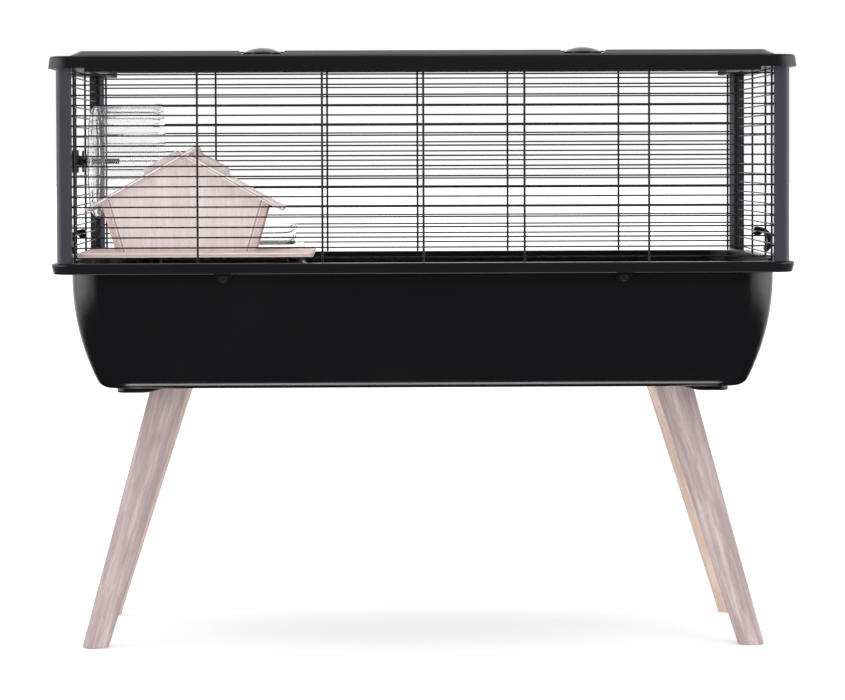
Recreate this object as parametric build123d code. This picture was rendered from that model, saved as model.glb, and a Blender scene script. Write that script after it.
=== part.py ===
"""Small-rodent cage: deep plastic tub, lift-off wire top, hinged lid, four splayed wooden legs.

Millimetres. +X is the cage's right, +Y its back, +Z up. The origin is on the floor,
under the middle of the cage.
"""
from build123d import *
import math
import os

# ------------------------------------------------------------------ driving dimensions
CAGE_WIDTH = 785.0
CAGE_DEPTH = 480.0
LEG_HEIGHT = 280.0
TUB_HEIGHT = 128.0
WIRE_PITCH = 10.7
WIRE_ROWS = 19

# Legs, their mounting plates and screws
FRONT_FOOT_X, BACK_FOOT_X, FOOT_Y = 354.8, 360.6, 137.0
LEG_TOP_X, LEG_TOP_Y = 275.5, 80.0
LEG_FOOT_R, LEG_TOP_R = 13.6, 20.0
FOOT_EDGE_R = 1.5
PLATE_SIDE, PLATE_THICK, PLATE_CORNER_R = 64.0, 3.0, 8.0
PLATE_SCREW_OFFSET = 25.0
SCREW_R, SCREW_HEAD_R, SCREW_HEAD_H = 2.0, 3.6, 2.0
LEG_BOLT_R, LEG_BOLT_DEPTH = 4.0, 26.0

# Tub
TUB_BOTTOM_Z = LEG_HEIGHT + PLATE_THICK
TUB_TOP_Z = TUB_BOTTOM_Z + TUB_HEIGHT
TUB_HALF_X, TUB_HALF_Y = 373.0, 221.0
TUB_WALL = 3.0
TUB_SIDE_ARC_R = 270.0
TUB_ARC_TOP_Z = 403.0
TUB_PLAN_R = 40.0
TUB_FLOOR_R = 15.0
TUB_FLANGE_OUT, TUB_FLANGE_THICK = 9.5, 3.0
TUB_FLOOR_Z = TUB_BOTTOM_Z + TUB_WALL
PAD_DROP = 6.0
PAD_X = (270.0, 300.0, 328.0)
PAD_Y = (116.0, 164.0)
PAD_EDGE_R = 2.0

# Bottom frame, on the tub's rim
RAIL_BOTTOM_Z, RAIL_TOP_Z = 406.0, 417.3
RAIL_UNDERCUT = 2.5
FRAME_CORNER_R = 26.0
RAIL_INNER_X, RAIL_INNER_Y = 366.2, 215.0
RIM_FIT = 0.3
RIB_HEIGHT, RIB_THICK, RIB_HALF_LENGTH = 2.7, 2.8, 200.0
TAB_X, TAB_WIDTH, TAB_THICK, TAB_HEIGHT = 211.0, 18.0, 3.5, 10.5
TAB_SCREW_Z, TAB_HEAD_R, TAB_HEAD_H = 401.4, 4.25, 2.6

# Wire panels
BODY_GAP = 0.3
WIRE_R, UPRIGHT_R = 0.8, 1.2
WIRE_CROSSING = 1.7
WIRE_FIRST_Z = 423.0
BACK_FIRST_Z = WIRE_FIRST_Z + WIRE_PITCH / 2
PANEL_X, PANEL_Y = 376.5, 226.5
FRONT_UPRIGHTS = (0.0, 106.3, 237.4, 366.5)
SIDE_UPRIGHTS = (66.0, 216.5)
UPRIGHT_TOP_Z = 630.0
WIRE_IN_POST = 3.0

# Corner posts
POST_INNER_X, POST_INNER_Y, POST_SIDE, POST_CORNER_R = 369.0, 219.0, 16.0, 7.0
POST_GROOVE_WIDTH, POST_GROOVE_DEPTH = 6.0, 4.0
POST_BOTTOM_Z = RAIL_TOP_Z + BODY_GAP

# Top frame
TOP_RAIL_BOTTOM_Z, TOP_RAIL_TOP_Z = 622.5, 635.3
TOP_FLARE = 1.5
TOP_EDGE_R = 3.0
TOP_OPENING_X, TOP_OPENING_Y, TOP_OPENING_R = 358.0, 208.0, 18.0
TOP_GROOVE_TOP_Z = 632.0
CORNER_BLOCK, CORNER_CLEAR = 38.5, 25.5
BACK_RAIL_BOTTOM_Z = 628.0
SKIRT_BOTTOM_Z, SKIRT_THICK = 618.5, 3.0

# Lid
LID_BOTTOM_Z, LID_TOP_Z = TOP_RAIL_TOP_Z + BODY_GAP, 641.0
LID_HALF_X, LID_Y = 372.0, (-220.0, 216.0)
LID_CORNER_R = 16.0
LID_SLOPE_LONG, LID_SLOPE_HIGH = 11.0, 4.6
LID_OPENING_X, LID_OPENING_Y = 350.0, (-170.0, 196.0)
LID_REBATE, LID_REBATE_TOP_Z = 4.0, 639.4
NOTCH_X, NOTCH_WIDTH, NOTCH_FLOOR_Z, NOTCH_BACK_Y = 169.5, 49.0, 637.0, -171.0
LID_WIRE_Z = 638.0

# Lid latches
KNOB_R, KNOB_Y, KNOB_TOP_Z = 20.5, -194.0, 644.2
KNOB_SKIRT = 1.8
LATCH_TRAVEL = 7.0
STEM_X, STEM_Y = 12.0, 8.0
TONGUE_X, TONGUE_Y, TONGUE_Z = 28.0, (-206.4, -188.0), (630.6, 633.4)
LATCH_POCKET_DEPTH = 7.5

# Lid hinge
HINGE_X, HINGE_Y, HINGE_Z = 200.0, 227.0, 639.6
KNUCKLE_R, KNUCKLE_HALF, KNUCKLE_OUTER = 4.0, 7.6, 15.0
KNUCKLE_GAP = 0.4
PIN_R, PIN_CLEARANCE = 1.5, 0.05

# Side clips, which turn on a wire of each side panel
CLIP_WIRE_Z = WIRE_FIRST_Z + 2 * WIRE_PITCH
CLIP_LOOP_R, CLIP_BORE_CLEARANCE = 5.0, 0.05
CLIP_HALF_WIDTH = 7.0
CLIP_ARC_X, CLIP_ARC_Z = 377.5, 433.5
CLIP_ARC_OUTER, CLIP_ARC_INNER = 15.5, 10.0
CLIP_ARC_START, CLIP_ARC_END = 80.0, -56.0
CLIP_MOUTH = 1.2

# Running wheel, with its axle clamped through the left panel
WHEEL_Y, WHEEL_Z = 42.0, WIRE_FIRST_Z + 9.5 * WIRE_PITCH
WHEEL_R, DRUM_R, DRUM_WALL = 64.5, 63.3, 1.8
WHEEL_BACK_X, WHEEL_SHOULDER_X, WHEEL_RIM_X, WHEEL_MOUTH_X = -370.5, -361.5, -297.0, -289.5
SHOULDER_STEPS = ((-370.5, 50.0), (-369.2, 57.0), (-366.0, 61.6))
HUB_X, HUB_R = (-372.5, -354.0), 6.0
AXLE_R, AXLE_FIT, AXLE_X = 3.0, 0.05, (-386.0, -338.0)
AXLE_FLANGE_R, AXLE_FLANGE_X = 7.5, (-375.5, -373.4)
WASHER_R, WASHER_X = 12.2, (-379.5, -377.5)
CLAMP_KNOB_R, KNOB_X, KNOB_NECK_R, KNOB_NECK_X = 13.0, (-392.0, -384.0), 6.5, -379.7
TREADS, TREAD_HEIGHT, TREAD_WIDTH = 30, 1.4, 1.6

# Wooden platform on four props
PLATFORM_X, PLATFORM_Y = (-364.0, -117.5), (-205.0, 38.0)
PLATFORM_TOP_Z, PLATFORM_THICK = 427.6, 6.0
PLATFORM_CORNER_R, PLATFORM_EDGE_R = 6.0, 0.8
PROP_X, PROP_Y, PROP_R = (-298.0, -137.0), (-148.0, 20.0), 8.0

# Ramp from the platform to the tub's floor
RAMP_FOOT_X, RAMP_ANGLE, RAMP_THICK = 94.0, 29.7, 5.0
RAMP_Y = (-80.0, -20.0)
RUNG_PITCH, RUNG_COUNT, RUNG_WIDTH, RUNG_HEIGHT = 22.0, 10, 5.0, 3.0

# Wooden house
HOUSE_X = -254.6
HOUSE_Y = (-145.5, -47.5)
HOUSE_BASE_HALF, HOUSE_LEAN = 63.7, 16.3
HOUSE_APEX_Z, ROOF_PITCH = 529.5, 29.3
WALL_THICK, PLY_THICK = 5.0, 4.0
BATTEN_THICK, BATTEN_DEPTH = 6.5, 10.0
ROOF_THICK, ROOF_HALF_RUN, ROOF_OVERSHOOT = 4.0, 104.2, 13.0
ROOF_Y = (-165.0, -35.0)
TAB_SPAN, TAB_RISE = (9.0, 44.0), 7.5
TAB_FIT = 0.3
DOOR_WIDTH, DOOR_HEIGHT = 40.0, 42.0

# Food dish
DISH_X, DISH_Y = -168.0, -4.0
DISH_RIM_R, DISH_BASE_R, DISH_HEIGHT = 31.0, 39.0, 26.5
DISH_WALL, DISH_BASE_H = 2.0, 6.5

SIDES = (("left", -1), ("right", 1))
ENDS = (("front", -1), ("back", 1))


# ------------------------------------------------------------------ helpers
def span(x, y, z):
    """A box given by its low and high limits along each axis."""
    middle = [(low + high) / 2 for low, high in (x, y, z)]
    sides = [abs(high - low) for low, high in (x, y, z)]
    return Pos(*middle) * Box(*sides)


def about(centre, half):
    """The limits of a length centred on a point."""
    return (centre - half, centre + half)


def slab(half_x, half_y, radius, z):
    """A flat block with rounded corners in plan, centred over the origin."""
    outline = RectangleRounded(2 * half_x, 2 * half_y, radius)
    return Pos(0, 0, z[0]) * extrude(outline, z[1] - z[0])


def flared_slab(low_half, high_half, radius, z):
    """A slab whose plan grows from one pair of half sizes to another."""
    low = Pos(0, 0, z[0]) * RectangleRounded(2 * low_half[0], 2 * low_half[1], radius)
    high = Pos(0, 0, z[1]) * RectangleRounded(2 * high_half[0], 2 * high_half[1], radius)
    return loft([low, high], ruled=True)


def rod(start, end, radius):
    """A round bar between two points."""
    run = Vector(*end) - Vector(*start)
    place = Plane(origin=start, z_dir=run)
    return place * Cylinder(radius, run.length, align=(Align.CENTER, Align.CENTER, Align.MIN))


def across(points, y):
    """An outline in X and Z, carried along Y between two limits."""
    face = make_face(Polyline(*points, close=True))
    sheet = Plane(origin=(0, y[0], 0), x_dir=(1, 0, 0), z_dir=(0, -1, 0)) * face
    return extrude(sheet, y[1] - y[0], dir=(0, 1, 0))


# ------------------------------------------------------------------ legs
def leg(side_x, side_y):
    """A tapered round leg, splayed both ways, cut level at both ends."""
    foot_x = FRONT_FOOT_X if side_y < 0 else BACK_FOOT_X
    foot = Vector(side_x * foot_x, side_y * FOOT_Y, 0)
    top = Vector(side_x * LEG_TOP_X, side_y * LEG_TOP_Y, LEG_HEIGHT)
    run = top - foot
    axis = run.normalized()
    spare = 30.0
    growth = (LEG_TOP_R - LEG_FOOT_R) / run.length * spare
    place = Plane(origin=foot - axis * spare, z_dir=axis)
    bottom = (Align.CENTER, Align.CENTER, Align.MIN)
    cone = place * Cone(LEG_FOOT_R - growth, LEG_TOP_R + growth, run.length + 2 * spare, align=bottom)
    level = span((-500, 500), (-500, 500), (0, LEG_HEIGHT))
    body = cone & level
    body = fillet(body.edges().group_by(Axis.Z)[0], FOOT_EDGE_R)
    return body - leg_bolt(side_x, side_y)


def leg_bolt(side_x, side_y):
    """The threaded stud that joins a leg to its plate."""
    x, y = side_x * LEG_TOP_X, side_y * LEG_TOP_Y
    return rod((x, y, LEG_HEIGHT - LEG_BOLT_DEPTH), (x, y, TUB_BOTTOM_Z), LEG_BOLT_R)


def plate_screw_places(side_x, side_y):
    """Centres in plan of the four screws of one leg plate."""
    x, y = side_x * LEG_TOP_X, side_y * LEG_TOP_Y
    offsets = (-PLATE_SCREW_OFFSET, PLATE_SCREW_OFFSET)
    return [(x + dx, y + dy) for dx in offsets for dy in offsets]


def leg_plate(side_x, side_y):
    """A thin square plate under the tub, drilled for its screws and the leg's stud."""
    outline = RectangleRounded(PLATE_SIDE, PLATE_SIDE, PLATE_CORNER_R)
    plate = extrude(outline, PLATE_THICK)
    plate = Pos(side_x * LEG_TOP_X, side_y * LEG_TOP_Y, LEG_HEIGHT) * plate
    plate -= leg_bolt(side_x, side_y)
    holes = [rod((x, y, LEG_HEIGHT), (x, y, TUB_BOTTOM_Z), SCREW_R)
             for x, y in plate_screw_places(side_x, side_y)]
    return plate - holes


def plate_screw(x, y):
    """A pan-head screw up through a leg plate and the tub's floor."""
    shank = rod((x, y, LEG_HEIGHT), (x, y, TUB_FLOOR_Z), SCREW_R)
    head = rod((x, y, LEG_HEIGHT - SCREW_HEAD_H), (x, y, LEG_HEIGHT), SCREW_HEAD_R)
    head = fillet(head.edges().group_by(Axis.Z)[0], 1.2)
    return shank + head


def all_corners():
    """The four corners of the cage, as signs along X and Y."""
    return [(sx, sy) for _, sy in ENDS for _, sx in SIDES]


# ------------------------------------------------------------------ tub
def tub_outline(half, arc_r, floor_z, top_z):
    """The tub's side view across one axis: upright at the rim, curving in to the floor."""
    arc_centre = TUB_HALF_X - TUB_SIDE_ARC_R - (TUB_HALF_X - half) + (TUB_SIDE_ARC_R - arc_r)
    drop = TUB_ARC_TOP_Z - floor_z
    angle_end = math.asin(drop / arc_r)
    end_x = arc_centre + arc_r * math.cos(angle_end)
    mid_x = arc_centre + arc_r * math.cos(angle_end / 2)
    mid_z = TUB_ARC_TOP_Z - arc_r * math.sin(angle_end / 2)
    right = ThreePointArc((half, TUB_ARC_TOP_Z), (mid_x, mid_z), (end_x, floor_z))
    left = ThreePointArc((-half, TUB_ARC_TOP_Z), (-mid_x, mid_z), (-end_x, floor_z))
    base = Line((-end_x, floor_z), (end_x, floor_z))
    rim = Polyline((half, TUB_ARC_TOP_Z), (half, top_z), (-half, top_z), (-half, TUB_ARC_TOP_Z))
    return make_face([right, base, left, rim])


def tub_block(inset, floor_z, top_z):
    """The tub's outer form, or the form of its inside, with round corners and floor edge."""
    arc_r = TUB_SIDE_ARC_R - inset
    front = tub_outline(TUB_HALF_X - inset, arc_r, floor_z, top_z)
    side = tub_outline(TUB_HALF_Y - inset, arc_r, floor_z, top_z)
    along_y = extrude(Plane.XZ * front, CAGE_DEPTH, both=True)
    along_x = extrude(Plane.YZ * side, CAGE_WIDTH, both=True)
    block = along_y & along_x
    uprights = [e for e in block.edges()
                if abs(e.center().X) > 300 and abs(e.center().Y) > 150 and e.bounding_box().size.Z > 5]
    block = fillet(uprights, TUB_PLAN_R - inset)
    floor_edge = block.faces().sort_by(Axis.Z)[0].edges()
    return fillet(floor_edge, TUB_FLOOR_R - inset)


def corner_pad(side_x, side_y):
    """A low pad under one corner of the tub that blends into the raised middle."""
    inner, knee, outer = PAD_X
    top = TUB_BOTTOM_Z + 2.0
    low = TUB_BOTTOM_Z - PAD_DROP
    blend = Spline((inner, TUB_BOTTOM_Z), (knee, low), tangents=[(1, 0), (1, 0)])
    rest = Polyline((knee, low), (outer, low), (outer, top), (inner, top), (inner, TUB_BOTTOM_Z))
    face = make_face([blend, rest])
    pad = extrude(Plane.XZ * face, -(PAD_Y[1] - PAD_Y[0]))
    pad = Pos(0, PAD_Y[0], 0) * pad
    ends = [e for e in pad.edges() if e.center().X > outer - 1 and e.bounding_box().size.Z > 5]
    pad = fillet(ends, 12.0)
    pad = fillet(pad.faces().sort_by(Axis.Z)[0].edges().filter_by(lambda e: e.center().X > knee), PAD_EDGE_R)
    if side_x < 0:
        pad = mirror(pad, Plane.YZ)
    if side_y < 0:
        pad = mirror(pad, Plane.XZ)
    return pad


def tub_rim():
    """The flange that turns out from the top of the wall."""
    z = (TUB_TOP_Z - TUB_FLANGE_THICK, TUB_TOP_Z)
    outer = slab(TUB_HALF_X + TUB_FLANGE_OUT, TUB_HALF_Y + TUB_FLANGE_OUT, TUB_PLAN_R + TUB_FLANGE_OUT, z)
    inner_r = TUB_PLAN_R - TUB_WALL
    return outer - slab(TUB_HALF_X - TUB_WALL, TUB_HALF_Y - TUB_WALL, inner_r, z)


def tub():
    """The deep tub: curved walls, rim flange, corner pads and screw holes."""
    shell = tub_block(0.0, TUB_BOTTOM_Z, TUB_TOP_Z)
    shell -= tub_block(TUB_WALL, TUB_FLOOR_Z, TUB_TOP_Z + 1)
    shell += tub_rim()
    shell += [corner_pad(sx, sy) for sx, sy in all_corners()]
    holes = [rod((x, y, TUB_BOTTOM_Z - 1), (x, y, TUB_FLOOR_Z + 1), SCREW_R)
             for sx, sy in all_corners() for x, y in plate_screw_places(sx, sy)]
    holes += [tab_screw_shank(x, side) for x, side in tab_places()]
    return shell - holes


# ------------------------------------------------------------------ bottom frame
def tab_places():
    """The tabs on the two long rails, as a place along X and a sign along Y."""
    return [(sx * TAB_X, sy) for _, sy in ENDS for _, sx in SIDES]


def tab(x, side):
    """A half-round ear that hangs from a long rail against the tub's wall."""
    face_y = TUB_HALF_Y + RIM_FIT
    radius = TAB_WIDTH / 2
    centre_z = RAIL_BOTTOM_Z - TAB_HEIGHT + radius
    shelf_top = TUB_TOP_Z - TUB_FLANGE_THICK - RIM_FIT
    y_ear = sorted((side * face_y, side * (face_y + TAB_THICK)))
    y_shelf = sorted((side * face_y, side * (CAGE_DEPTH / 2 - RAIL_UNDERCUT)))
    ear = rod((x, side * face_y, centre_z), (x, side * (face_y + TAB_THICK), centre_z), radius)
    ear &= span(about(x, radius), y_ear, (centre_z - radius, centre_z))
    ear += span(about(x, radius), y_ear, (centre_z, shelf_top))
    ear += span(about(x, radius), y_shelf, (RAIL_BOTTOM_Z, shelf_top))
    return ear


def tab_screw_shank(x, side):
    """The threaded part of a tab screw, through the ear and the tub's wall."""
    head_y = TUB_HALF_Y + RIM_FIT + TAB_THICK
    return rod((x, side * (TUB_HALF_Y - TUB_WALL), TAB_SCREW_Z), (x, side * head_y, TAB_SCREW_Z), SCREW_R)


def tab_screw(x, side):
    """The screw that holds a tab to the tub."""
    head_y = TUB_HALF_Y + RIM_FIT + TAB_THICK
    head = rod((x, side * head_y, TAB_SCREW_Z), (x, side * (head_y + TAB_HEAD_H), TAB_SCREW_Z), TAB_HEAD_R)
    outer_edge = head.edges().group_by(Axis.Y)[0 if side < 0 else -1]
    return tab_screw_shank(x, side) + fillet(outer_edge, 1.5)


def bottom_frame():
    """The ring that caps the tub's rim and carries the wire top."""
    half = (CAGE_WIDTH / 2, CAGE_DEPTH / 2)
    low = (half[0] - RAIL_UNDERCUT, half[1] - RAIL_UNDERCUT)
    ring = flared_slab(low, half, FRAME_CORNER_R, (RAIL_BOTTOM_Z, RAIL_TOP_Z))
    outer_edges = ring.edges().group_by(Axis.Z)
    ring = fillet(outer_edges[0] + outer_edges[-1], 2.0)
    ring -= slab(RAIL_INNER_X, RAIL_INNER_Y, TUB_PLAN_R - 6, (RAIL_BOTTOM_Z - 1, RAIL_TOP_Z + 1))
    flange_x = TUB_HALF_X + TUB_FLANGE_OUT + RIM_FIT
    flange_y = TUB_HALF_Y + TUB_FLANGE_OUT + RIM_FIT
    groove_z = (RAIL_BOTTOM_Z - 1, TUB_TOP_Z + RIM_FIT)
    groove = slab(flange_x, flange_y, TUB_PLAN_R + TUB_FLANGE_OUT, groove_z)
    lip_x, lip_y = TUB_HALF_X - TUB_WALL - RIM_FIT, TUB_HALF_Y - TUB_WALL - RIM_FIT
    groove -= slab(lip_x, lip_y, TUB_PLAN_R - TUB_WALL, groove_z)
    ring -= groove
    ring += [tab(x, side) for x, side in tab_places()]
    ring -= [tab_screw_shank(x, side) for x, side in tab_places()]
    for _, sx in SIDES:
        rib_x = sorted((sx * RAIL_INNER_X, sx * (RAIL_INNER_X + RIB_THICK)))
        ring += span(rib_x, about(0, RIB_HALF_LENGTH), (RAIL_TOP_Z - 1, RAIL_TOP_Z + RIB_HEIGHT))
    return ring


# ------------------------------------------------------------------ wire panels and posts
def wire_panel(half_length, distance, uprights, first_z):
    """A front-facing panel: level wires, with thicker uprights welded outside them."""
    rows = [first_z + row * WIRE_PITCH for row in range(WIRE_ROWS)]
    wires = [rod((-half_length, -distance, z), (half_length, -distance, z), WIRE_R) for z in rows]
    places = sorted({side * x for x in uprights for side in (-1, 1)})
    upright_y = -distance - WIRE_CROSSING
    wires += [rod((x, upright_y, POST_BOTTOM_Z), (x, upright_y, UPRIGHT_TOP_Z), UPRIGHT_R) for x in places]
    return wires[0] + wires[1:]


def long_panel(first_z):
    """The panel of the front or back. At the back it is the other way up, half a pitch higher."""
    return wire_panel(POST_INNER_X + WIRE_IN_POST, PANEL_Y, FRONT_UPRIGHTS, first_z)


def end_panel():
    """The panel of the left and right ends, before it is turned into place."""
    return wire_panel(POST_INNER_Y + WIRE_IN_POST, PANEL_X, SIDE_UPRIGHTS, WIRE_FIRST_Z)


def post(side_x, side_y):
    """A corner post, round outside, grooved inside for the ends of the wires."""
    x = (POST_INNER_X, POST_INNER_X + POST_SIDE)
    y = (POST_INNER_Y, POST_INNER_Y + POST_SIDE)
    z = (POST_BOTTOM_Z, TOP_RAIL_BOTTOM_Z)
    body = span(x, y, z)
    upright = body.edges().filter_by(Axis.Z).sort_by(lambda e: e.center().X + e.center().Y)
    body = fillet(upright[-1], POST_CORNER_R)
    body = chamfer(body.edges().filter_by(Axis.Z).sort_by(lambda e: e.center().X + e.center().Y)[0], 4.0)
    groove_middle = WIRE_CROSSING / 2 + 0.3
    width = POST_GROOVE_WIDTH / 2
    body -= span(about(PANEL_X + groove_middle, width), (y[0] - 1, y[0] + POST_GROOVE_DEPTH), z)
    body -= span((x[0] - 1, x[0] + POST_GROOVE_DEPTH), about(PANEL_Y + groove_middle, width), z)
    if side_x < 0:
        body = mirror(body, Plane.YZ)
    if side_y < 0:
        body = mirror(body, Plane.XZ)
    return body


# ------------------------------------------------------------------ top frame
def wire_groove(z):
    """A ring-shaped groove over the tops of all four wire panels."""
    inner_x, inner_y = PANEL_X - 2.0, PANEL_Y - 2.0
    outer_x, outer_y = PANEL_X + 4.0, PANEL_Y + 4.0
    ring = slab(outer_x, outer_y, 6.0, z)
    return ring - slab(inner_x, inner_y, 4.0, z)


def frame_knuckles(side):
    """Two hinge knuckles on the back rail, one each side of the lid's knuckle."""
    pair = []
    for lean in (-1, 1):
        near = side * HINGE_X + lean * (KNUCKLE_HALF + KNUCKLE_GAP)
        far = side * HINGE_X + lean * KNUCKLE_OUTER
        barrel = rod((near, HINGE_Y, HINGE_Z), (far, HINGE_Y, HINGE_Z), KNUCKLE_R)
        foot = span(sorted((near, far)), about(HINGE_Y, KNUCKLE_R), (TOP_RAIL_TOP_Z - 1, HINGE_Z))
        pair.append(barrel + foot)
    return pair


def hinge_pin(side, radius=PIN_R):
    """The pin of one lid hinge."""
    x = side * HINGE_X
    return rod((x - KNUCKLE_OUTER, HINGE_Y, HINGE_Z), (x + KNUCKLE_OUTER, HINGE_Y, HINGE_Z), radius)


def top_frame():
    """The ring on top of the posts, with the lid's hinge knuckles and latch pockets."""
    half = (CAGE_WIDTH / 2, CAGE_DEPTH / 2)
    low = (half[0] + TOP_FLARE, half[1] + TOP_FLARE)
    ring = flared_slab(low, half, FRAME_CORNER_R, (TOP_RAIL_BOTTOM_Z, TOP_RAIL_TOP_Z))
    ring = fillet(ring.edges().group_by(Axis.Z)[-1], TOP_EDGE_R)
    through = (TOP_RAIL_BOTTOM_Z - 1, TOP_RAIL_TOP_Z + 1)
    ring -= slab(TOP_OPENING_X, TOP_OPENING_Y, TOP_OPENING_R, through)
    ring -= wire_groove((TOP_RAIL_BOTTOM_Z - 1, TOP_GROOVE_TOP_Z))
    raised = (-half[0] + CORNER_BLOCK, half[0] - CORNER_CLEAR)
    ring -= span(raised, (TOP_OPENING_Y - 5, half[1] + 5), (TOP_RAIL_BOTTOM_Z - 1, BACK_RAIL_BOTTOM_Z))
    skirt_y = (-low[1] + 0.1, -low[1] + 0.1 + SKIRT_THICK)
    ring += span(about(0, half[0] - CORNER_BLOCK), skirt_y, (SKIRT_BOTTOM_Z, TOP_RAIL_BOTTOM_Z + 2))
    for _, side in SIDES:
        ring += frame_knuckles(side)
        ring -= hinge_pin(side)
        pocket_x = about(side * NOTCH_X, TONGUE_X / 2 + 3)
        pocket_y = (-TOP_OPENING_Y - LATCH_POCKET_DEPTH, -TOP_OPENING_Y + 1)
        ring -= span(pocket_x, pocket_y, (TONGUE_Z[0] - 0.5, TONGUE_Z[1] + 0.4))
    return ring


# ------------------------------------------------------------------ lid and latches
def lid_plan(margin, z):
    """The lid opening, grown by a margin, as a block to cut with."""
    low_y, high_y = LID_OPENING_Y
    half_y = (high_y - low_y) / 2 + margin
    return Pos(0, (low_y + high_y) / 2, 0) * slab(LID_OPENING_X + margin, half_y, 8.0, z)


def lid_notch(side):
    """The gap in the raised front rim, with 45 degree ends, that holds a latch knob."""
    x = side * NOTCH_X
    rise = LID_TOP_Z + 1 - NOTCH_FLOOR_Z
    wide = NOTCH_WIDTH / 2 + 1
    points = [(x - wide + rise, NOTCH_FLOOR_Z), (x + wide - rise, NOTCH_FLOOR_Z),
              (x + wide, LID_TOP_Z + 1), (x - wide, LID_TOP_Z + 1)]
    return across(points, (LID_Y[0] - 1, NOTCH_BACK_Y))


def lid_knuckle(side):
    """The knuckle that the lid turns on, bored to run on the hinge pin."""
    x = about(side * HINGE_X, KNUCKLE_HALF)
    barrel = rod((x[0], HINGE_Y, HINGE_Z), (x[1], HINGE_Y, HINGE_Z), KNUCKLE_R)
    arm = span(x, (LID_Y[1] - 8, HINGE_Y), (LID_BOTTOM_Z + 0.6, LID_TOP_Z))
    return barrel + arm


def lid_frame():
    """The lid's rim: wide at the front for the latches, rebated below for its grille."""
    middle_y = (LID_Y[0] + LID_Y[1]) / 2
    half_y = (LID_Y[1] - LID_Y[0]) / 2
    ring = slab(LID_HALF_X, half_y, LID_CORNER_R, (LID_BOTTOM_Z, LID_TOP_Z))
    top_face = ring.faces().sort_by(Axis.Z)[-1]
    ring = chamfer(top_face.edges(), LID_SLOPE_LONG, LID_SLOPE_HIGH, reference=top_face)
    ring = Pos(0, middle_y, 0) * ring
    ring -= lid_plan(0.0, (LID_BOTTOM_Z - 1, LID_TOP_Z + 1))
    ring -= lid_plan(LID_REBATE, (LID_BOTTOM_Z - 1, LID_REBATE_TOP_Z))
    for _, side in SIDES:
        ring -= lid_notch(side)
        slot_x = about(side * NOTCH_X, STEM_X / 2 + BODY_GAP)
        slot_y = (KNOB_Y - STEM_Y / 2 - LATCH_TRAVEL - BODY_GAP, KNOB_Y + STEM_Y / 2 + BODY_GAP)
        ring -= span(slot_x, slot_y, (LID_BOTTOM_Z - 1, NOTCH_FLOOR_Z + 1))
        ring += lid_knuckle(side)
        ring -= hinge_pin(side, PIN_R + PIN_CLEARANCE)
    return ring


def lid_grille():
    """The lid's wires: level ones along X, with thicker cross wires welded below."""
    inset = LID_REBATE - 1.0
    half_x = LID_OPENING_X + inset
    low_y, high_y = LID_OPENING_Y[0] - inset, LID_OPENING_Y[1] + inset
    count = int((high_y - low_y - 4) / WIRE_PITCH)
    first_y = (low_y + high_y - count * WIRE_PITCH) / 2
    rows = [first_y + row * WIRE_PITCH for row in range(count + 1)]
    wires = [rod((-half_x, y, LID_WIRE_Z), (half_x, y, LID_WIRE_Z), WIRE_R) for y in rows]
    cross_z = LID_WIRE_Z - WIRE_CROSSING
    places = sorted({side * x for x in FRONT_UPRIGHTS[:-1] + (345.0,) for side in (-1, 1)})
    wires += [rod((x, low_y, cross_z), (x, high_y, cross_z), UPRIGHT_R) for x in places]
    return wires[0] + wires[1:]


def latch(side):
    """A domed slide knob with a tongue that goes under the top frame's inner edge."""
    x = side * NOTCH_X
    base_z = NOTCH_FLOOR_Z + BODY_GAP
    rise = KNOB_TOP_Z - base_z - KNOB_SKIRT
    ball_r = (KNOB_R ** 2 + rise ** 2) / (2 * rise)
    ball = Pos(x, KNOB_Y, KNOB_TOP_Z - ball_r) * Sphere(ball_r)
    barrel = rod((x, KNOB_Y, base_z), (x, KNOB_Y, KNOB_TOP_Z + 1), KNOB_R)
    knob = barrel & ball
    stem = span(about(x, STEM_X / 2), about(KNOB_Y, STEM_Y / 2), (TONGUE_Z[1] - 1, base_z + 1))
    tongue = span(about(x, TONGUE_X / 2), TONGUE_Y, TONGUE_Z)
    return knob + stem + tongue


# ------------------------------------------------------------------ side clips
def clip(side):
    """A curved clip that turns on a wire of the side panel and springs over the rail."""
    y = about(0, CLIP_HALF_WIDTH)
    start = math.radians(CLIP_ARC_START)
    end = math.radians(CLIP_ARC_END)
    middle = (start + end) / 2

    def at(radius, angle):
        return (CLIP_ARC_X + radius * math.cos(angle), CLIP_ARC_Z + radius * math.sin(angle))

    outer = ThreePointArc(at(CLIP_ARC_OUTER, start), at(CLIP_ARC_OUTER, middle), at(CLIP_ARC_OUTER, end))
    inner = ThreePointArc(at(CLIP_ARC_INNER, start), at(CLIP_ARC_INNER, middle), at(CLIP_ARC_INNER, end))
    caps = [Line(outer @ 0, inner @ 0), Line(outer @ 1, inner @ 1)]
    arm = extrude(Plane.XZ * make_face([outer, inner] + caps), CLIP_HALF_WIDTH, both=True)
    tip = [e for e in arm.edges().filter_by(Axis.Y) if e.center().Z < CLIP_ARC_Z - 5]
    arm = fillet(tip, 2.0)
    loop = rod((PANEL_X, y[0], CLIP_WIRE_Z), (PANEL_X, y[1], CLIP_WIRE_Z), CLIP_LOOP_R)
    body = arm + loop
    bore_r = WIRE_R + CLIP_BORE_CLEARANCE
    body -= rod((PANEL_X, y[0] - 1, CLIP_WIRE_Z), (PANEL_X, y[1] + 1, CLIP_WIRE_Z), bore_r)
    mouth_x = (PANEL_X - CLIP_LOOP_R - 1, PANEL_X)
    body -= span(mouth_x, (y[0] - 1, y[1] + 1), about(CLIP_WIRE_Z, CLIP_MOUTH / 2))
    return body if side > 0 else mirror(body, Plane.YZ)


# ------------------------------------------------------------------ running wheel
def on_axle(x, radius):
    """A disc or bar on the wheel's axis."""
    return rod((x[0], WHEEL_Y, WHEEL_Z), (x[1], WHEEL_Y, WHEEL_Z), radius)


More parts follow.
